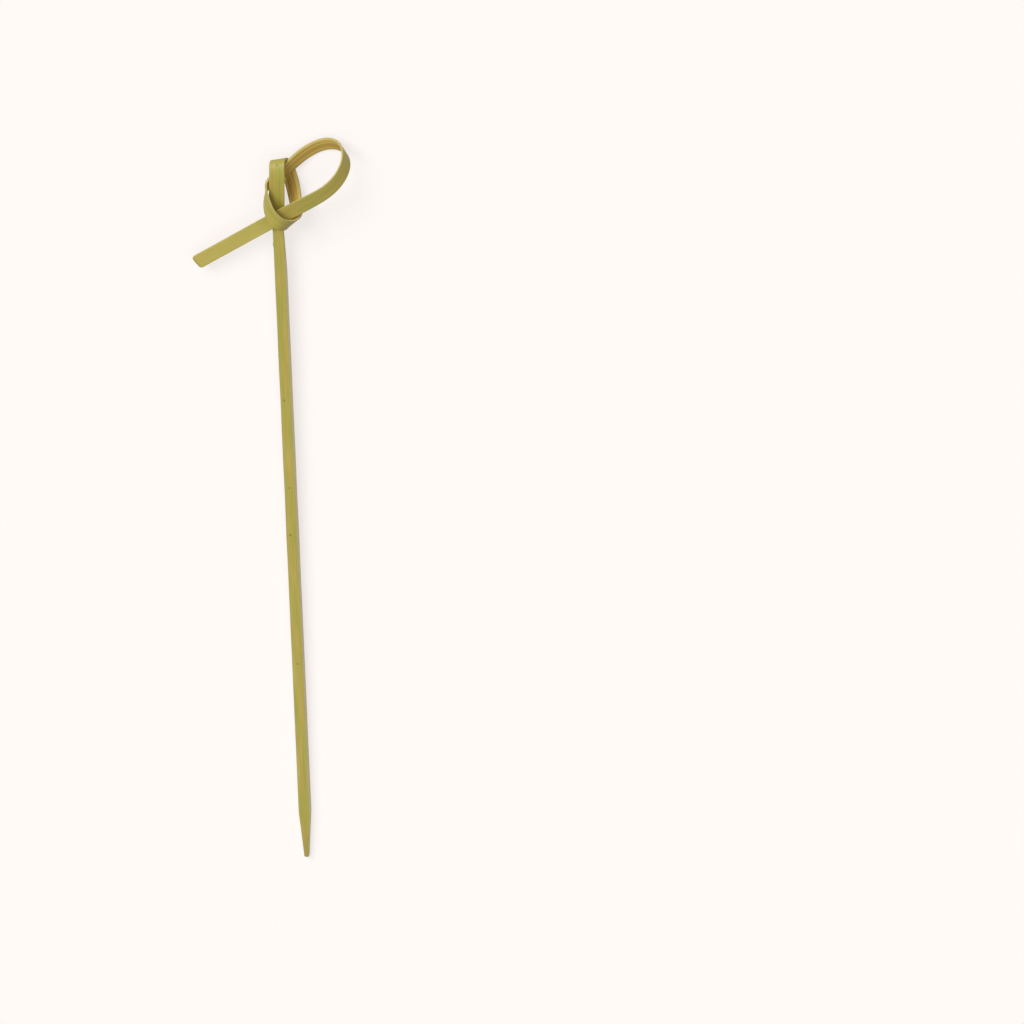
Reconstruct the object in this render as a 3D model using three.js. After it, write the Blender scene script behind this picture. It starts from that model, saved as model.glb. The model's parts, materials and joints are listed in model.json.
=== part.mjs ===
// Bamboo knot pick: one strip of green-skinned bamboo. The shaft runs down to a blunt point, and the
// pared strip at its other end is folded over, wrapped round itself and drawn out into a loop and a tail.
// Millimetres, +Z up. The pick lies on its back, as it comes to rest, with its point towards -X.
import * as THREE from 'three';
import { NURBSCurve } from 'three/addons/curves/NURBSCurve.js';
import { ConvexHull } from 'three/addons/math/ConvexHull.js';

// Shaft and point
const SHAFT_LENGTH = 134.5; // from the crossing in the knot to the point
const SHAFT_WIDTH = 2.1;
const SHAFT_THICKNESS = 1.8;
const POINT_LENGTH = 9.5;
const POINT_WIDTH = 0.85;
const POINT_ROUNDING = 0.3;

// Strip that the knot is tied in
const STRIP_WIDTH = 2.95;
const STRIP_THICKNESS = 0.4;
const PARING_LENGTH = 14; // over which the shaft is pared down to the strip, on its inner face
const WIDENING_LENGTH = 8; // over which the shaft widens to the strip
const EDGE_CHAMFER = 0.1;

// Knot, loop and tail
const LAYER_GAP = 0.14; // air between two layers of the knot
const LOOP_REACH = 14; // how far the loop stands out from the shaft
const LOOP_DEPTH = 7.8; // from the loop's back run to its front run
const LOOP_RISE = 14.3; // how far the loop rises over the crossing
const TAIL_LENGTH = 16.4; // from where it leaves the knot to its cut end
const TAIL_CORNER = 0.6;

// How many sections model each stretch of the strip
const END_SECTIONS = 4; // at each rounded end
const POINT_SECTIONS = 12;
const PARING_SECTIONS = 12;
const KNOT_SECTIONS = 209;
const TAIL_SECTIONS = 8;

const GREEN_SKIN = 0xa9a04b;

// The route is worked out with the pick upright: X across, towards the loop, Y towards the back and
// Z up. A station holds a point that the strip's middle is drawn to, and the way its green skin faces.
// In the knot, across and up are counted in strip widths and back in layers.
const LAYER = STRIP_THICKNESS + LAYER_GAP;
const FRONT = [0, -1, 0];
const TAIL_SKIN = [0.08, -0.98, -0.15];
const TAIL_START = [-0.72, -1.58, -0.48];
const TAIL_DIRECTION = new THREE.Vector3(-0.83, 0.02, -0.55).normalize();

function station(x, y, z, skin) {
  return { at: new THREE.Vector3(x, y, z), skin: new THREE.Vector3(...skin) };
}

function shaft(share) {
  return station(0, 0, -share * SHAFT_LENGTH, FRONT);
}

function knot([across, back, up], skin) {
  return station(across * STRIP_WIDTH, back * LAYER, up * STRIP_WIDTH, skin);
}

function loop([out, back, up], skin) {
  return station(out * LOOP_REACH, back * LOOP_DEPTH, up * LOOP_RISE, skin);
}

function tail(share) {
  const result = knot(TAIL_START, TAIL_SKIN);
  result.at.addScaledVector(TAIL_DIRECTION, share * TAIL_LENGTH);
  return result;
}

const ROUTE = [
  // up the shaft
  shaft(1),
  shaft(0.7),
  shaft(0.4),
  shaft(0.2),
  shaft(0.12),
  shaft(0.06),
  shaft(0.025),
  // up through the knot, in front of the loop's root
  knot([-0.03, 0.07, 0.32], FRONT),
  knot([0.02, -0.74, 1.75], [0.02, -0.99, 0.17]),
  knot([0.15, -1.78, 3.06], [0.05, -0.89, 0.46]),
  // folded over the top, to the back
  knot([0.11, -0.72, 3.84], [-0.06, -0.6, 0.8]),
  knot([0.12, 2.35, 3.84], [-0.27, -0.02, 0.96]),
  knot([0.28, 5.74, 3.36], [-0.27, 0.55, 0.79]),
  // down behind the loop's root
  knot([0.56, 6.84, 2.57], [-0.1, 0.87, 0.48]),
  knot([0.83, 5.8, 1.67], [0.16, 0.97, 0.18]),
  knot([1.02, 3.88, 0.89], [0.43, 0.89, -0.13]),
  // folded forward round the lower right
  knot([1.19, 2.02, 0.28], [0.56, 0.67, -0.48]),
  knot([1.21, -0.48, -0.07], [0.65, 0.23, -0.73]),
  knot([1.05, -3.38, -0.16], [0.62, -0.37, -0.69]),
  // across the front, over the tail and the shaft
  knot([0.73, -6.42, -0.08], [0.39, -0.84, -0.38]),
  knot([0.19, -7.74, 0.27], [-0.05, -0.99, -0.16]),
  knot([-0.39, -5.74, 0.91], [-0.55, -0.83, -0.06]),
  // back round the left side
  knot([-0.6, -2.43, 1.56], [-0.88, -0.47, 0.07]),
  knot([-0.67, -0.06, 2.02], [-0.99, 0.09, 0.12]),
  knot([-0.39, 1.59, 2.36], [-0.85, 0.48, 0.23]),
  // behind the shaft's strip, out into the loop
  knot([0.14, 2.52, 2.74], [-0.63, 0.71, 0.3]),
  knot([0.78, 3.61, 3.28], [-0.43, 0.83, 0.37]),
  loop([0.31, 0.38, 0.81], [-0.2, 0.89, 0.41]),
  loop([0.48, 0.48, 0.91], [0.05, 0.89, 0.45]),
  loop([0.64, 0.51, 0.97], [0.39, 0.82, 0.43]),
  // round the loop's far end
  loop([0.8, 0.42, 0.99], [0.73, 0.56, 0.39]),
  loop([0.93, 0.19, 0.97], [0.92, 0.13, 0.36]),
  loop([0.99, -0.13, 0.88], [0.92, -0.3, 0.26]),
  loop([0.93, -0.41, 0.73], [0.79, -0.6, 0.1]),
  // back along the front to the crossing
  loop([0.77, -0.53, 0.56], [0.58, -0.82, -0.01]),
  loop([0.54, -0.48, 0.4], [0.32, -0.95, -0.03]),
  knot([1.4, -4.83, 1.08], [0.17, -0.98, -0.06]),
  knot([0.3, -2.71, 0.28], [0.09, -0.99, -0.1]),
  // out as the tail
  tail(0),
  tail(0.26),
  tail(0.58),
  tail(1),
];

// An even cubic spline that starts at the first point and ends at the last.
function smoothCurve(points) {
  const degree = 3;
  const spans = points.length - degree;
  const knots = [];
  for (let i = -degree; i <= spans + degree; i += 1) {
    knots.push(THREE.MathUtils.clamp(i, 0, spans));
  }
  return new NURBSCurve(degree, knots, points.map(({ x, y, z }) => new THREE.Vector4(x, y, z, 1)));
}

const LENGTH_SAMPLES = 4000;
const route = smoothCurve(ROUTE.map(({ at }) => at));
route.arcLengthDivisions = LENGTH_SAMPLES;
const skinWay = smoothCurve(ROUTE.map(({ skin }) => skin));
const stripLength = route.getLength();

// Where along the strip its width and thickness change, measured from the point's end
const paringStart = SHAFT_LENGTH - PARING_LENGTH;
const wideningStart = SHAFT_LENGTH - WIDENING_LENGTH / 2;
const wideningEnd = SHAFT_LENGTH + WIDENING_LENGTH / 2;
const knotEnd = stripLength - TAIL_LENGTH;

// The skin runs on unbroken from the shaft to the strip, so the shaft is thicker on its inner side.
const SKIN_OUT = STRIP_THICKNESS / 2;
const SHAFT_MIDDLE = SKIN_OUT - SHAFT_THICKNESS / 2;

// How far a rounded end draws in from each side, at a distance before the end
function endRounding(distance, radius) {
  const left = THREE.MathUtils.clamp(radius - distance, 0, radius);
  return radius - Math.sqrt(radius ** 2 - left ** 2);
}

// The width of the strip, and how far its skin and its inner face lie from the route
function sectionSize(distance) {
  const { lerp, smoothstep, clamp } = THREE.MathUtils;
  if (distance < POINT_LENGTH) {
    const share = clamp(distance / POINT_LENGTH, 0, 1);
    const rounding = endRounding(distance, POINT_ROUNDING);
    const width = lerp(POINT_WIDTH, SHAFT_WIDTH, share) - 2 * rounding;
    const thickness = lerp(POINT_WIDTH, SHAFT_THICKNESS, share) - 2 * rounding;
    return { width, skin: SHAFT_MIDDLE + thickness / 2, inner: SHAFT_MIDDLE - thickness / 2 };
  }
  const pared = smoothstep(distance, paringStart, SHAFT_LENGTH);
  const widened = smoothstep(distance, wideningStart, wideningEnd);
  const thickness = lerp(SHAFT_THICKNESS, STRIP_THICKNESS, pared);
  const width = lerp(SHAFT_WIDTH, STRIP_WIDTH, widened) - 2 * endRounding(stripLength - distance, TAIL_CORNER);
  return { width, skin: SKIN_OUT, inner: SKIN_OUT - thickness };
}

// One chamfered section of the strip, as points in space
function sectionPoints(distance) {
  const { width, skin, inner } = sectionSize(distance);
  const half = width / 2;
  const c = Math.min(EDGE_CHAMFER, width / 4, (skin - inner) / 4);
  const outline = [
    [half - c, skin],
    [half, skin - c],
    [half, inner + c],
    [half - c, inner],
    [c - half, inner],
    [-half, inner + c],
    [-half, skin - c],
    [c - half, skin],
  ];
  const t = THREE.MathUtils.clamp(route.getUtoTmapping(0, distance), 0, 1);
  const middle = route.getPoint(t);
  const along = route.getTangent(t);
  const out = skinWay.getPoint(t);
  out.addScaledVector(along, -out.dot(along)).normalize();
  const across = new THREE.Vector3().crossVectors(along, out);
  return outline.map(([side, rise]) => middle.clone().addScaledVector(across, side).addScaledVector(out, rise));
}

// Even distances from one place on the strip up to, but not at, the next
function spread(from, to, count) {
  return Array.from({ length: count }, (_, i) => from + (i * (to - from)) / count);
}

const distances = [
  ...spread(0, POINT_ROUNDING, END_SECTIONS),
  ...spread(POINT_ROUNDING, POINT_LENGTH, POINT_SECTIONS),
  ...spread(POINT_LENGTH, paringStart, 1),
  ...spread(paringStart, wideningStart, PARING_SECTIONS),
  ...spread(wideningStart, knotEnd, KNOT_SECTIONS),
  ...spread(knotEnd, stripLength - TAIL_CORNER, TAIL_SECTIONS),
  ...spread(stripLength - TAIL_CORNER, stripLength, END_SECTIONS),
  stripLength,
];

// Joins the sections into one closed surface, with a flat face at each end
function stripGeometry(sections) {
  const sides = sections[0].length;
  const positions = sections.flat().flatMap((p) => p.toArray());
  const faces = [];
  for (let ring = 0; ring < sections.length - 1; ring += 1) {
    for (let side = 0; side < sides; side += 1) {
      const next = (side + 1) % sides;
      const a = ring * sides + side;
      const b = ring * sides + next;
      faces.push(a, b + sides, a + sides, a, b, b + sides);
    }
  }
  const last = (sections.length - 1) * sides;
  for (let side = 1; side < sides - 1; side += 1) {
    faces.push(0, side + 1, side);
    faces.push(last, last + side, last + side + 1);
  }
  const geometry = new THREE.BufferGeometry();
  geometry.setAttribute('position', new THREE.Float32BufferAttribute(positions, 3));
  geometry.setIndex(faces);
  geometry.computeVertexNormals();
  return geometry;
}

// The centre of the strip's weight, as each stretch weighs as much as its section's area
function weightCentre(sections) {
  const centre = new THREE.Vector3();
  let weight = 0;
  for (let ring = 0; ring < sections.length - 1; ring += 1) {
    const { width, skin, inner } = sectionSize(distances[ring]);
    const share = width * (skin - inner) * (distances[ring + 1] - distances[ring]);
    const corners = [...sections[ring], ...sections[ring + 1]];
    corners.forEach((p) => centre.addScaledVector(p, share / corners.length));
    weight += share;
  }
  return centre.divideScalar(weight);
}

// The turn that lays the pick on its back. Of the flat faces stretched over all its points, it can
// rest on one that its weight presses inside, and it takes the one that looks most to the back.
function restingTurn(sections) {
  const hull = new ConvexHull().setFromPoints(sections.flat());
  const centre = weightCentre(sections);
  const seats = hull.faces.filter(({ edge }) => {
    const corners = [edge.tail().point, edge.head().point, edge.next.head().point];
    return THREE.Triangle.containsPoint(centre, ...corners);
  });
  seats.sort((p, q) => q.normal.y - p.normal.y);
  const down = new THREE.Vector3(0, 0, -1);
  const laid = new THREE.Quaternion().setFromUnitVectors(seats[0].normal, down);
  const pointing = new THREE.Vector3(0, 0, -1).applyQuaternion(laid);
  const bearing = Math.atan2(pointing.y, pointing.x);
  const turned = new THREE.Quaternion().setFromAxisAngle(new THREE.Vector3(0, 0, 1), Math.PI - bearing);
  return turned.multiply(laid);
}

function knottedStrip() {
  const sections = distances.map(sectionPoints);
  const material = new THREE.MeshStandardMaterial({ color: GREEN_SKIN, roughness: 0.5, metalness: 0 });
  const strip = new THREE.Mesh(stripGeometry(sections), material);
  strip.name = 'knotted_strip';
  strip.quaternion.copy(restingTurn(sections));
  // Its lowest point comes to Z = 0, under the middle of its box.
  const box = new THREE.Box3().setFromObject(strip, true);
  const centre = box.getCenter(new THREE.Vector3());
  strip.position.set(-centre.x, -centre.y, -box.min.z);
  return strip;
}

const pick = new THREE.Group();
pick.add(knottedStrip());

export default pick;
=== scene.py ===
"""Bamboo knot pick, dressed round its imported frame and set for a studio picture.

One strip of green bamboo: a squared shaft with a blunt point, pared flat at its other end and tied
in a knot with a loop and a tail. The strip is cut as a flat blank, pared, and then bent along the
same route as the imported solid. Sizes are in millimetres and turned to metres by MM.
"""

import json
import math

import bmesh
import bpy
import numpy as np
from mathutils import Matrix, Vector, noise


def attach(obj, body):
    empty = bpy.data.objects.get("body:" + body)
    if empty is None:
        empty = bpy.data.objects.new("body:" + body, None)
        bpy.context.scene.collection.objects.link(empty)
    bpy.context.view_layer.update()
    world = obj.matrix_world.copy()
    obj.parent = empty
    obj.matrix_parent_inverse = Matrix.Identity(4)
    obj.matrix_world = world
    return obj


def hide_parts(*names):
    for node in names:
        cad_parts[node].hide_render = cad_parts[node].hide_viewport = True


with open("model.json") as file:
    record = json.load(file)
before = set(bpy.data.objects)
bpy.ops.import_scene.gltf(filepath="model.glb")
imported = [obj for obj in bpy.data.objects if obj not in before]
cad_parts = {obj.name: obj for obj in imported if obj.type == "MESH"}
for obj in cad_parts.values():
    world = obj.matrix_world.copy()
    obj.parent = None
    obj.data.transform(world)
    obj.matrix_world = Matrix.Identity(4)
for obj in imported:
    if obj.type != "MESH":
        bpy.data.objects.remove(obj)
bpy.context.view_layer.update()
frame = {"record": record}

MM = 0.001

# Shaft and point
SHAFT_LENGTH = 134.5
SHAFT_WIDTH = 2.1
SHAFT_THICKNESS = 1.8
POINT_LENGTH = 9.5
POINT_WIDTH = 0.85
POINT_ROUNDING = 0.3

# Strip that the knot is tied in
STRIP_WIDTH = 2.95
STRIP_THICKNESS = 0.4
PARING_LENGTH = 14
WIDENING_LENGTH = 8
EDGE_CHAMFER = 0.07

# Knot, loop and tail
LAYER_GAP = 0.14
LAYER = STRIP_THICKNESS + LAYER_GAP
LOOP_REACH = 14
LOOP_DEPTH = 7.8
LOOP_RISE = 14.3
TAIL_LENGTH = 16.4
TAIL_CORNER = 0.6

# The skin runs on unbroken from the shaft to the strip, so the shaft is thicker on its inner side.
SKIN_OUT = STRIP_THICKNESS / 2

# Unevenness of a strip split and pared by hand
EDGE_WAVER = 0.03
EDGE_WAVER_LENGTH = 9
FINE_WAVER = 5  # how many times shorter the fine waver is than the long one
FINE_WEAKNESS = 3  # and how many times weaker
FACE_WAVER = 0.012
FACE_WAVERS = 1.3  # how often a face rises and sinks in a millimetre of its width
NICK_PLACE = 128.6  # a torn fibre on one edge of the shaft, just under the knot
NICK_LENGTH = 0.5
NICK_HEIGHT = 0.13
NICK_START = 0.8  # how far out from the middle it starts

# Small brown marks on the skin: millimetres along the strip and across it, and how wide each one is
SKIN_MARKS = [(145.4, 0.1, 0.3), (96.2, -0.28, 0.3), (77.9, 0, 0.26), (68, -0.25, 0.34), (41, 0.05, 0.3)]

# The fold forward round the lower right of the knot, where the skin is wrinkled
FOLD_START = 159.5
FOLD_MIDDLE = 162.3
FOLD_END = 166


def place_from_mounts(record):
    """The matrix from the pick held upright (X across to the loop, Y back, Z up) to the row frame."""
    mounts = {m["name"]: m for m in record["mounts"]}
    skin, inner = mounts["shaft_skin_face"], mounts["shaft_inner_face"]
    skin_point, inner_point = Vector(skin["pos_m"]), Vector(inner["pos_m"])
    back = -Vector(skin["axis"]).normalized()
    up = skin_point - inner_point + back * SHAFT_THICKNESS * MM
    up = (up - back * up.dot(back)).normalized()
    across = back.cross(up)
    skin_depth = 40  # how far below the crossing the skin's mount lies
    origin = skin_point + back * SKIN_OUT * MM + up * skin_depth * MM
    return Matrix.Translation(origin) @ Matrix((across, back, up)).transposed().to_4x4()


PICK = place_from_mounts(frame["record"])


# Camera. Were the pick held upright, the photograph would see it from its front, from 27.3 degrees above
# and 13 degrees towards the loop's side. The pick leans 2.4 degrees in the picture.
VIEW_ELEVATION = math.radians(27.3)
VIEW_AZIMUTH = math.radians(13)
VIEW_LEAN = math.radians(2.4)
PICTURE_SIZE = 1024
PIXEL = 0.1853  # millimetres that one pixel shows at the pick
CROSSING_PIXEL = (277.7, 216.3)
CAMERA_DISTANCE = 8000
SENSOR = 36


def view_axes():
    """The picture's right, up and towards-the-viewer directions, with the pick held upright."""
    toward = Vector((
        math.cos(VIEW_ELEVATION) * math.sin(VIEW_AZIMUTH),
        -math.cos(VIEW_ELEVATION) * math.cos(VIEW_AZIMUTH),
        math.sin(VIEW_ELEVATION),
    ))
    level = Vector((math.cos(VIEW_AZIMUTH), math.sin(VIEW_AZIMUTH), 0))
    rise = toward.cross(level)
    right = level * math.cos(VIEW_LEAN) - rise * math.sin(VIEW_LEAN)
    up = level * math.sin(VIEW_LEAN) + rise * math.cos(VIEW_LEAN)
    turn = PICK.to_3x3()
    return turn @ right, turn @ up, turn @ toward


def add_camera():
    right, up, toward = view_axes()
    aside = (CROSSING_PIXEL[0] - PICTURE_SIZE / 2) * PIXEL
    above = (PICTURE_SIZE / 2 - CROSSING_PIXEL[1]) * PIXEL
    centre = PICK.translation - (right * aside + up * above) * MM
    data = bpy.data.cameras.new("photo_camera")
    data.sensor_width = SENSOR
    data.lens = SENSOR * CAMERA_DISTANCE / (PICTURE_SIZE * PIXEL)
    data.clip_start = 0.1
    data.clip_end = 20
    camera = bpy.data.objects.new("photo_camera", data)
    bpy.context.collection.objects.link(camera)
    turn = Matrix((right, up, toward)).transposed().to_4x4()
    camera.matrix_world = Matrix.Translation(centre + toward * CAMERA_DISTANCE * MM) @ turn
    bpy.context.scene.camera = camera


def add_lamp(name, aside, above, front, spread, level):
    """A far, soft lamp whose light comes from so much aside, above and in front in the picture."""
    right, up, toward = view_axes()
    away = right * aside + up * above + toward * front
    data = bpy.data.lights.new(name, "SUN")
    data.angle = math.radians(spread)
    data.energy = level
    lamp = bpy.data.objects.new(name, data)
    bpy.context.collection.objects.link(lamp)
    lamp.location = away
    lamp.rotation_euler = away.to_track_quat("Z", "Y").to_euler()


def linear(colour):
    """An sRGB hex colour as linear red, green, blue and alpha."""
    parts = [int(colour[i:i + 2], 16) / 255 for i in (1, 3, 5)]
    return tuple(p / 12.92 if p <= 0.04045 else ((p + 0.055) / 1.055) ** 2.4 for p in parts) + (1,)


# The strip's route, with the pick held upright. Each station holds a point that the strip's middle is
# drawn to, and the way its green skin faces.
FRONT = (0, -1, 0)
TAIL_SKIN = (0.08, -0.98, -0.15)
TAIL_START = (-0.72, -1.58, -0.48)
TAIL_DIRECTION = Vector((-0.83, 0.02, -0.55)).normalized()


def shaft(share):
    return (0, 0, -share * SHAFT_LENGTH), FRONT


def knot(across, back, up, skin):
    return (across * STRIP_WIDTH, back * LAYER, up * STRIP_WIDTH), skin


def loop(out, back, up, skin):
    return (out * LOOP_REACH, back * LOOP_DEPTH, up * LOOP_RISE), skin


def tail(share):
    start, skin = knot(*TAIL_START, TAIL_SKIN)
    return tuple(Vector(start) + TAIL_DIRECTION * share * TAIL_LENGTH), skin


ROUTE = [
    # up the shaft
    shaft(1),
    shaft(0.7),
    shaft(0.4),
    shaft(0.2),
    shaft(0.12),
    shaft(0.06),
    shaft(0.025),
    # up through the knot, in front of the loop's root
    knot(-0.03, 0.07, 0.32, FRONT),
    knot(0.02, -0.74, 1.75, (0.02, -0.99, 0.17)),
    knot(0.15, -1.78, 3.06, (0.05, -0.89, 0.46)),
    # folded over the top, to the back
    knot(0.11, -0.72, 3.84, (-0.06, -0.6, 0.8)),
    knot(0.12, 2.35, 3.84, (-0.27, -0.02, 0.96)),
    knot(0.28, 5.74, 3.36, (-0.27, 0.55, 0.79)),
    # down behind the loop's root
    knot(0.56, 6.84, 2.57, (-0.1, 0.87, 0.48)),
    knot(0.83, 5.8, 1.67, (0.16, 0.97, 0.18)),
    knot(1.02, 3.88, 0.89, (0.43, 0.89, -0.13)),
    # folded forward round the lower right
    knot(1.19, 2.02, 0.28, (0.56, 0.67, -0.48)),
    knot(1.21, -0.48, -0.07, (0.65, 0.23, -0.73)),
    knot(1.05, -3.38, -0.16, (0.62, -0.37, -0.69)),
    # across the front, over the tail and the shaft
    knot(0.73, -6.42, -0.08, (0.39, -0.84, -0.38)),
    knot(0.19, -7.74, 0.27, (-0.05, -0.99, -0.16)),
    knot(-0.39, -5.74, 0.91, (-0.55, -0.83, -0.06)),
    # back round the left side
    knot(-0.6, -2.43, 1.56, (-0.88, -0.47, 0.07)),
    knot(-0.67, -0.06, 2.02, (-0.99, 0.09, 0.12)),
    knot(-0.39, 1.59, 2.36, (-0.85, 0.48, 0.23)),
    # behind the shaft's strip, out into the loop
    knot(0.14, 2.52, 2.74, (-0.63, 0.71, 0.3)),
    knot(0.78, 3.61, 3.28, (-0.43, 0.83, 0.37)),
    loop(0.31, 0.38, 0.81, (-0.2, 0.89, 0.41)),
    loop(0.48, 0.48, 0.91, (0.05, 0.89, 0.45)),
    loop(0.64, 0.51, 0.97, (0.39, 0.82, 0.43)),
    # round the loop's far end
    loop(0.8, 0.42, 0.99, (0.73, 0.56, 0.39)),
    loop(0.93, 0.19, 0.97, (0.92, 0.13, 0.36)),
    loop(0.99, -0.13, 0.88, (0.92, -0.3, 0.26)),
    loop(0.93, -0.41, 0.73, (0.79, -0.6, 0.1)),
    # back along the front to the crossing
    loop(0.77, -0.53, 0.56, (0.58, -0.82, -0.01)),
    loop(0.54, -0.48, 0.4, (0.32, -0.95, -0.03)),
    knot(1.4, -4.83, 1.08, (0.17, -0.98, -0.06)),
    knot(0.3, -2.71, 0.28, (0.09, -0.99, -0.1)),
    # out as the tail
    tail(0),
    tail(0.26),
    tail(0.58),
    tail(1),
]


def smooth_curve(points, samples):
    """Points on an even cubic spline that starts at the first point and ends at the last."""
    degree = 3
    points = np.array(points, float)
    spans = len(points) - degree
    knots = np.clip(np.arange(-degree, spans + degree + 1), 0, spans).astype(float)
    places = np.linspace(0, spans, samples)
    span = np.minimum(places.astype(int), spans - 1) + degree
    reach = [points[span - degree + i] for i in range(degree + 1)]
    for level in range(1, degree + 1):
        for i in range(degree, level - 1, -1):
            low = knots[span - degree + i]
            high = knots[span + 1 + i - level]
            share = ((places - low) / (high - low))[:, None]
            reach[i] = (1 - share) * reach[i - 1] + share * reach[i]
    return reach[degree]


class StripRoute:
    """Where the strip's middle runs, and how it is turned, at any distance from its point."""

    SAMPLES = 12000

    def __init__(self, stations):
        self.middle = smooth_curve([at for at, _ in stations], self.SAMPLES)
        steps = np.linalg.norm(np.diff(self.middle, axis=0), axis=1)
        self.distance = np.concatenate([[0], np.cumsum(steps)])
        self.length = self.distance[-1]
        along = np.gradient(self.middle, self.distance, axis=0)
        along /= np.linalg.norm(along, axis=1)[:, None]
        out = smooth_curve([skin for _, skin in stations], self.SAMPLES)
        out -= along * np.sum(out * along, axis=1)[:, None]
        self.out = out / np.linalg.norm(out, axis=1)[:, None]
        self.across = np.cross(along, self.out)

    def bend(self, flat):
        """Takes points of the flat strip (along, across, out) to the bent one."""
        def at(track):
            return np.stack([np.interp(flat[:, 0], self.distance, track[:, i]) for i in range(3)], 1)
        return at(self.middle) + at(self.across) * flat[:, 1:2] + at(self.out) * flat[:, 2:3]


def smoothstep(value, low, high):
    share = np.clip((value - low) / (high - low), 0, 1)
    return share * share * (3 - 2 * share)


def end_rounding(distance, radius):
    """How far a rounded end draws in from each side, at a distance before the end."""
    left = np.clip(radius - distance, 0, radius)
    return radius - np.sqrt(radius ** 2 - left ** 2)


def section_size(distance, length):
    """The strip's width, and how far its skin and its inner face lie from the route."""
    pointed = np.clip(distance / POINT_LENGTH, 0, 1)
    rounding = end_rounding(distance, POINT_ROUNDING)
    pared = smoothstep(distance, SHAFT_LENGTH - PARING_LENGTH, SHAFT_LENGTH)
    half_widening = WIDENING_LENGTH / 2
    widened = smoothstep(distance, SHAFT_LENGTH - half_widening, SHAFT_LENGTH + half_widening)
    width = SHAFT_WIDTH + (STRIP_WIDTH - SHAFT_WIDTH) * widened
    width -= (1 - pointed) * (SHAFT_WIDTH - POINT_WIDTH) + 2 * rounding
    width -= 2 * end_rounding(length - distance, TAIL_CORNER)
    thickness = SHAFT_THICKNESS + (STRIP_THICKNESS - SHAFT_THICKNESS) * pared
    narrowing = (1 - pointed) * (SHAFT_THICKNESS - POINT_WIDTH) / 2 + rounding
    return width, SKIN_OUT - narrowing, SKIN_OUT - thickness + narrowing


def reach_along(edge):
    """How far an edge reaches along the blank."""
    return abs(edge.verts[0].co.x - edge.verts[1].co.x)


def select_edges(blank, chosen):
    """In edit mode, selects the edges that pass the test, and nothing else."""
    mesh = bmesh.from_edit_mesh(blank.data)
    for part in (*mesh.verts, *mesh.faces):
        part.select = False
    for edge in mesh.edges:
        edge.select = chosen(edge)
    mesh.select_flush_mode()
    bmesh.update_edit_mesh(blank.data)


def cut_flat_blank(length):
    """A flat strip of full width and thickness, in millimetres, with fine sections all along it."""
    bpy.ops.object.select_all(action="DESELECT")
    middle = (length / 2, 0, 0)
    bpy.ops.mesh.primitive_cube_add(size=1, location=middle, scale=(length, STRIP_WIDTH, STRIP_THICKNESS))
    blank = bpy.context.active_object
    blank.name = "bamboo_strip"
    bpy.ops.object.transform_apply(location=True, rotation=False, scale=True)
    bpy.ops.object.mode_set(mode="EDIT")
    bpy.ops.mesh.select_mode(type="EDGE")

    def cut_across(axis, places):
        for place in places:
            point, normal = [0, 0, 0], [0, 0, 0]
            point[axis], normal[axis] = place, 1
            bpy.ops.mesh.select_all(action="SELECT")
            bpy.ops.mesh.bisect(plane_co=point, plane_no=normal)

    # The chamfers' edges and the lines between them keep the faces flat where the blank is bent.
    half, thick = STRIP_WIDTH / 2, STRIP_THICKNESS / 2
    lines = 11
    select_edges(blank, lambda edge: reach_along(edge) > length / 2)
    bpy.ops.mesh.bevel(offset=EDGE_CHAMFER, segments=2, affect="EDGES", clamp_overlap=False)
    cut_across(1, np.linspace(-half, half, lines + 2)[1:-1])
    cut_across(2, (-thick / 3, thick / 3))

    # Each stretch has its own fineness: borders in millimetres, and the step between sections.
    knot_end = length - TAIL_LENGTH
    stretches = [
        (0, POINT_ROUNDING, 0.06),
        (POINT_ROUNDING, POINT_LENGTH, 0.35),
        (POINT_LENGTH, SHAFT_LENGTH - PARING_LENGTH, 1.4),
        (SHAFT_LENGTH - PARING_LENGTH, SHAFT_LENGTH - WIDENING_LENGTH / 2, 0.4),
        (SHAFT_LENGTH - WIDENING_LENGTH / 2, knot_end, 0.2),
        (knot_end, length - TAIL_CORNER, 0.5),
        (length - TAIL_CORNER, length, 0.06),
    ]
    most_cuts = 90  # subdivide makes 100 at most
    pieces = []
    for start, end, step in stretches:
        sections = max(1, round((end - start) / step))
        parts = math.ceil(sections / most_cuts)
        borders = np.linspace(start, end, parts + 1)
        pieces += [(a, b, round(sections / parts) - 1) for a, b in zip(borders, borders[1:])]
    cut_across(0, [start for start, _, _ in pieces[1:]])
    tiny = 1e-4
    for start, end, cuts in pieces:
        if cuts < 1:
            continue

        def between(edge):
            return all(start - tiny < vert.co.x < end + tiny for vert in edge.verts)

        select_edges(blank, lambda edge: between(edge) and reach_along(edge) > tiny)
        bpy.ops.mesh.subdivide(number_cuts=cuts)
    bpy.ops.object.mode_set(mode="OBJECT")
    return blank


def pare(flat, length):
    """Draws the blank's width and thickness in to the true section, with its chamfers unchanged."""
    width, skin, inner = section_size(flat[:, 0], length)
    half, thick = STRIP_WIDTH / 2, STRIP_THICKNESS / 2
    chamfer = np.minimum(EDGE_CHAMFER, np.minimum(width, (skin - inner)) / 4)

    def drawn(value, from_low, from_high, to_low, to_high):
        """Keeps the distance to the nearer side within the chamfer, and spreads the rest evenly."""
        low, high = from_low + EDGE_CHAMFER, from_high - EDGE_CHAMFER
        near_low = to_low + (value - from_low) * chamfer / EDGE_CHAMFER
        near_high = to_high - (from_high - value) * chamfer / EDGE_CHAMFER
        share = np.clip((value - low) / (high - low), 0, 1)
        between = to_low + chamfer + share * (to_high - to_low - 2 * chamfer)
        return np.where(value < low, near_low, np.where(value > high, near_high, between))

    across = drawn(flat[:, 1], -half, half, -width / 2, width / 2)
    out = drawn(flat[:, 2], -thick, thick, inner, skin)
    return np.stack([flat[:, 0], across, out], 1)


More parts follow.
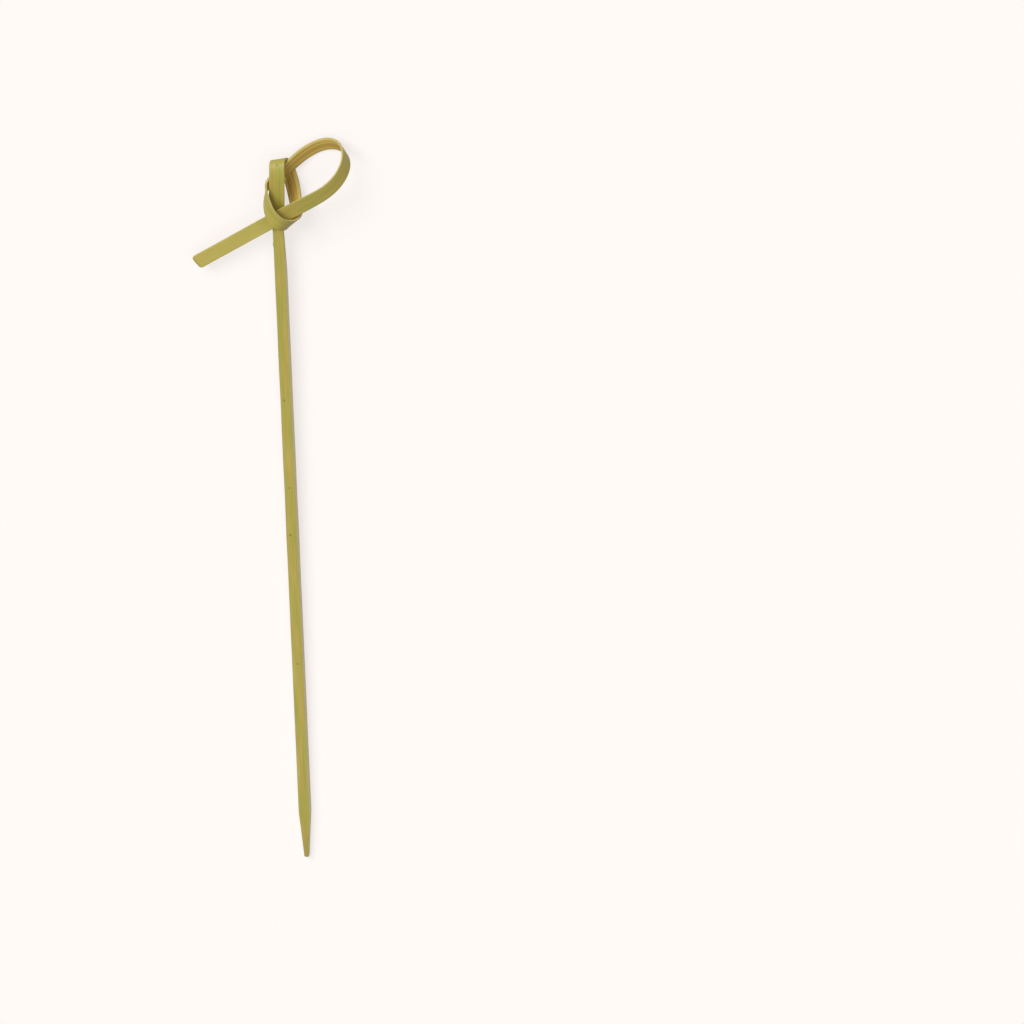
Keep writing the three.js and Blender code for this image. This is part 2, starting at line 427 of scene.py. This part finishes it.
def roughen(flat):
    """The slight unevenness of a split and pared strip: its edges waver, its faces rise and sink, and
    one fibre is torn."""
    # Where each of them lies in the noise, so that they differ
    edge_place, fine_place, face_place = (7, 3), (11, 5), 19
    sunk = 0.5  # keeps most of a face just inside its true place
    result = flat.copy()
    for i, (along, across, _) in enumerate(flat):
        side = math.copysign(1, across)
        share = min(1, abs(across) / (SHAFT_WIDTH / 2))
        way = along / EDGE_WAVER_LENGTH
        waver = noise.noise(Vector((way, side * edge_place[0], edge_place[1])))
        fine = noise.noise(Vector((way * FINE_WAVER, side * fine_place[0], fine_place[1]))) / FINE_WEAKNESS
        result[i, 1] -= side * share * EDGE_WAVER * (1 + waver + fine)
        hollow = noise.noise(Vector((way, across * FACE_WAVERS, face_place)))
        result[i, 2] += FACE_WAVER * (hollow - sunk)
        near = abs(along - NICK_PLACE) / NICK_LENGTH
        if near < 1 and across < -NICK_START * share:
            result[i, 1] -= NICK_HEIGHT * (1 - near * near)
    return result


def new_material(name):
    material = bpy.data.materials.new(name)
    material.use_nodes = True
    return material, material.node_tree


def add_node(tree, kind, settings=None, inputs=None):
    """Adds a node with its settings, and sets or links its inputs."""
    node = tree.nodes.new(kind)
    for name, value in (settings or {}).items():
        setattr(node, name, value)
    for name, value in (inputs or {}).items():
        if isinstance(value, bpy.types.NodeSocket):
            tree.links.new(value, node.inputs[name])
        else:
            node.inputs[name].default_value = value
    return node


def flat_place(tree):
    """Where a point lay on the strip before it was bent: along, across and out, in metres."""
    return add_node(tree, "ShaderNodeAttribute", {"attribute_name": "flat_strip"}).outputs["Vector"]


def along_strip(tree, start, end):
    """Rises from 0 to 1 between two distances along the strip, in millimetres."""
    parts = add_node(tree, "ShaderNodeSeparateXYZ", {}, {0: flat_place(tree)})
    return add_node(tree, "ShaderNodeMapRange", {"interpolation_type": "SMOOTHSTEP"}, {
        "Value": parts.outputs["X"], "From Min": start * MM, "From Max": end * MM}).outputs["Result"]


def strip_pattern(tree, along, across, seed, detail=3):
    """Noise drawn out along the strip: streaks so many millimetres long and wide."""
    scale = (1 / (along * MM), 1 / (across * MM), 1 / (across * MM))
    place = add_node(tree, "ShaderNodeMapping", {}, {
        "Vector": flat_place(tree), "Location": (seed, seed, seed), "Scale": scale})
    return add_node(tree, "ShaderNodeTexNoise", {}, {
        "Vector": place.outputs["Vector"], "Scale": 1, "Detail": detail}).outputs["Fac"]


def streaks(tree, pattern, stops):
    """The colours that a strip pattern runs through, as pairs of place and hex colour."""
    ramp = add_node(tree, "ShaderNodeValToRGB", {}, {"Fac": pattern})
    elements = ramp.color_ramp.elements
    while len(elements) < len(stops):
        elements.new(0.5)
    for element, (place, colour) in zip(elements, stops):
        element.position = place
        element.color = linear(colour)
    return ramp.outputs["Color"]


def lined(tree, colour, lines, strength):
    """Darkens a colour by the fibre lines that run along the strip."""
    return add_node(tree, "ShaderNodeMix", {"data_type": "RGBA", "blend_type": "MULTIPLY"}, {
        "Factor": strength, "A": colour, "B": lines}).outputs["Result"]


def tinted(tree, colour, where, strength, tint):
    """Lays a hex colour over the bamboo's, where a value says, up to a strength."""
    share = add_node(tree, "ShaderNodeMath", {"operation": "MULTIPLY"}, {0: where, 1: strength})
    return add_node(tree, "ShaderNodeMix", {"data_type": "RGBA"}, {
        "Factor": share.outputs[0], "A": colour, "B": linear(tint)}).outputs["Result"]


def finish_material(tree, colour, roughness):
    shader = tree.nodes["Principled BSDF"]
    tree.links.new(colour, shader.inputs["Base Color"])
    shader.inputs["Roughness"].default_value = roughness
    return shader


def skin_marks(tree):
    """1 in the middle of each brown mark, and 0 past its width."""
    marked = 0
    for along, across, width in SKIN_MARKS:
        gap = add_node(tree, "ShaderNodeVectorMath", {"operation": "DISTANCE"}, {
            0: flat_place(tree), 1: (along * MM, across * MM, SKIN_OUT * MM)})
        spot = add_node(tree, "ShaderNodeMapRange", {"interpolation_type": "SMOOTHSTEP"}, {
            "Value": gap.outputs["Value"], "From Min": width * MM, "From Max": width / 4 * MM})
        marked = add_node(tree, "ShaderNodeMath", {"operation": "MAXIMUM"}, {
            0: spot.outputs["Result"], 1: marked}).outputs[0]
    return marked


def fold_wrinkles(tree):
    """Fine wrinkles across the strip, where the knot folds its skin hardest."""
    into = along_strip(tree, FOLD_START, FOLD_MIDDLE)
    away = along_strip(tree, FOLD_END, FOLD_MIDDLE)
    folded = add_node(tree, "ShaderNodeMath", {"operation": "MULTIPLY"}, {0: into, 1: away})
    wrinkles = strip_pattern(tree, along=0.3, across=1.4, seed=23)
    return add_node(tree, "ShaderNodeMath", {"operation": "MULTIPLY"}, {
        0: folded.outputs[0], 1: wrinkles}).outputs[0]


def bamboo_skin(length):
    """Green bamboo skin, wiped clean and dried: waxy and smooth, olive green going tan in soft patches,
    with faint fibre lines under the wax. It is paler at the tail, browner at the point and the cut end,
    marked by a few brown specks, and finely wrinkled where the knot folds it hardest."""
    material, tree = new_material("green_bamboo_skin")
    patches = strip_pattern(tree, along=8, across=1.2, seed=3, detail=2)
    green_to_tan = [(0.34, "#ACA848"), (0.48, "#B5A94F"), (0.58, "#BCA950"), (0.7, "#BDB15C")]
    colour = streaks(tree, patches, green_to_tan)
    fibre_lines = strip_pattern(tree, along=12, across=0.24, seed=31)
    fibre_lines = streaks(tree, fibre_lines, [(0.3, "#CFCABB"), (0.52, "#FFFFFF")])
    colour = lined(tree, colour, fibre_lines, 0.4)

    paler_from, paler_to = length - TAIL_LENGTH - 4, length - TAIL_LENGTH + 3
    colour = tinted(tree, colour, along_strip(tree, paler_from, paler_to), 0.55, "#D0C265")
    browner_from, browner_to = 9, 1
    colour = tinted(tree, colour, along_strip(tree, browner_from, browner_to), 0.5, "#A68E47")
    dried_end = 0.6
    colour = tinted(tree, colour, along_strip(tree, length - dried_end, length), 0.6, "#A98F48")
    colour = tinted(tree, colour, skin_marks(tree), 0.6, "#5E4D22")
    wrinkles = fold_wrinkles(tree)
    colour = tinted(tree, colour, wrinkles, 1, "#8C7E4C")

    shader = finish_material(tree, colour, 0.5)
    fibres = add_node(tree, "ShaderNodeBump", {}, {
        "Height": strip_pattern(tree, along=9, across=0.16, seed=57, detail=4),
        "Strength": 0.2, "Distance": 0.03 * MM})
    creased = add_node(tree, "ShaderNodeBump", {}, {
        "Height": wrinkles, "Strength": 0.7, "Distance": 0.1 * MM, "Normal": fibres.outputs["Normal"]})
    tree.links.new(creased.outputs["Normal"], shader.inputs["Normal"])
    return material


def bamboo_fibre():
    """The inner face of the strip: bare bamboo wood, split and pared, dry and tan, with brown vessel
    lines and pale fibre bands that run its whole length."""
    material, tree = new_material("pared_bamboo_fibre")
    bands = strip_pattern(tree, along=26, across=0.6, seed=71)
    brown_to_cream = [(0.32, "#B8953F"), (0.46, "#C9AA50"), (0.56, "#D6BA60"), (0.7, "#DCC673")]
    colour = streaks(tree, bands, brown_to_cream)
    vessels = strip_pattern(tree, along=18, across=0.17, seed=91, detail=4)
    vessels = streaks(tree, vessels, [(0.3, "#A88A60"), (0.48, "#FFFFFF")])
    shader = finish_material(tree, lined(tree, colour, vessels, 0.8), 0.72)
    fibres = add_node(tree, "ShaderNodeBump", {}, {
        "Height": strip_pattern(tree, along=7, across=0.14, seed=13, detail=4),
        "Strength": 0.6, "Distance": 0.05 * MM})
    tree.links.new(fibres.outputs["Normal"], shader.inputs["Normal"])
    return material


def bamboo_cut():
    """The sides and ends of the strip: cut bamboo, pale and dull, with the ends of its fibres, and green
    next to the skin. On the shaft they are painted much paler, a painted light that stands in for the
    light falling on the shaft's sides."""
    material, tree = new_material("cut_bamboo_edge")
    fibre_ends = strip_pattern(tree, along=6, across=0.2, seed=41)
    colour = streaks(tree, fibre_ends, [(0.3, "#C0AF60"), (0.5, "#CDBE76"), (0.7, "#D9CC8C")])
    parts = add_node(tree, "ShaderNodeSeparateXYZ", {}, {0: flat_place(tree)})
    near_skin = add_node(tree, "ShaderNodeMapRange", {}, {
        "Value": parts.outputs["Z"], "From Min": 0, "From Max": SKIN_OUT * MM})
    colour = tinted(tree, colour, near_skin.outputs["Result"], 0.8, "#ABA04C")
    # Painted light: the shaft's cut sides are made far paler than the wood, in place of the light that
    # falls on them.
    shaft_painted_light = along_strip(tree, SHAFT_LENGTH, SHAFT_LENGTH - PARING_LENGTH)
    colour = tinted(tree, colour, shaft_painted_light, 0.85, "#F2E8BE")
    finish_material(tree, colour, 0.75)
    return material


def make_strip():
    route = StripRoute(ROUTE)
    strip = cut_flat_blank(route.length)
    mesh = strip.data
    count = len(mesh.vertices)
    flat = np.empty(count * 3)
    mesh.vertices.foreach_get("co", flat)
    flat = pare(flat.reshape(-1, 3), route.length)

    skin, fibre, cut = 0, 1, 2
    for material in (bamboo_skin(route.length), bamboo_fibre(), bamboo_cut()):
        mesh.materials.append(material)
    flat_enough = 0.9  # how squarely a face looks out or in, next to the chamfers and the sides
    for face in mesh.polygons:
        rise = face.normal.z
        face.material_index = skin if rise > flat_enough else fibre if rise < -flat_enough else cut

    # The pattern of the bamboo follows the strip as it lay flat.
    attribute = mesh.attributes.new("flat_strip", "FLOAT_VECTOR", "POINT")
    attribute.data.foreach_set("vector", (flat * MM).ravel())
    bent = route.bend(roughen(flat)) * MM
    turn = np.array(PICK.to_3x3())
    placed = bent @ turn.T + np.array(PICK.translation)
    mesh.vertices.foreach_set("co", placed.ravel())
    mesh.update()
    bpy.ops.object.select_all(action="DESELECT")
    strip.select_set(True)
    bpy.context.view_layer.objects.active = strip
    bpy.ops.object.mode_set(mode="EDIT")
    bpy.ops.mesh.select_all(action="SELECT")
    bpy.ops.mesh.normals_make_consistent(inside=False)
    bpy.ops.object.mode_set(mode="OBJECT")
    sharpest_smooth = 32
    bpy.ops.object.shade_smooth_by_angle(angle=math.radians(sharpest_smooth))
    return strip


def floor_material():
    """A smooth pale card. Where the camera sees it, it is lifted to white, and a soft shadow stays."""
    material, tree = new_material("pale_card")
    rays = add_node(tree, "ShaderNodeLightPath").outputs
    seen = add_node(tree, "ShaderNodeMath", {"operation": "MAXIMUM"}, {
        0: rays["Is Camera Ray"], 1: rays["Is Glossy Ray"]})
    seen = add_node(tree, "ShaderNodeMath", {"operation": "MAXIMUM"}, {
        0: seen.outputs[0], 1: rays["Is Transmission Ray"]}).outputs[0]
    card = add_node(tree, "ShaderNodeMix", {"data_type": "RGBA"}, {
        "Factor": seen, "A": linear("#C9C5C0"), "B": linear("#9C9A98")})
    lift = add_node(tree, "ShaderNodeMath", {"operation": "MULTIPLY"}, {0: seen, 1: 0.69})
    shader = finish_material(tree, card.outputs["Result"], 0.9)
    shader.inputs["Specular IOR Level"].default_value = 0
    shader.inputs["Emission Color"].default_value = linear("#FFFAF7")
    tree.links.new(lift.outputs[0], shader.inputs["Emission Strength"])
    return material


def add_floor():
    bpy.ops.object.select_all(action="DESELECT")
    bpy.ops.mesh.primitive_plane_add(size=8, location=(0, 0, 0))
    floor = bpy.context.active_object
    floor.name = "floor"
    floor.data.materials.append(floor_material())


def set_world():
    world = bpy.data.worlds.new("studio")
    world.use_nodes = True
    background = world.node_tree.nodes["Background"]
    background.inputs["Color"].default_value = linear("#FFFDFA")
    background.inputs["Strength"].default_value = 0.33
    bpy.context.scene.world = world


add_camera()
add_lamp("key_lamp", aside=-0.45, above=0.2, front=0.8, spread=36, level=1.97)
add_lamp("fill_lamp", aside=0.1, above=-0.35, front=0.9, spread=60, level=0.47)
set_world()
add_floor()
bpy.context.scene.view_settings.view_transform = "Standard"

strip = make_strip()
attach(strip, "root")
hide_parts("knotted_strip")
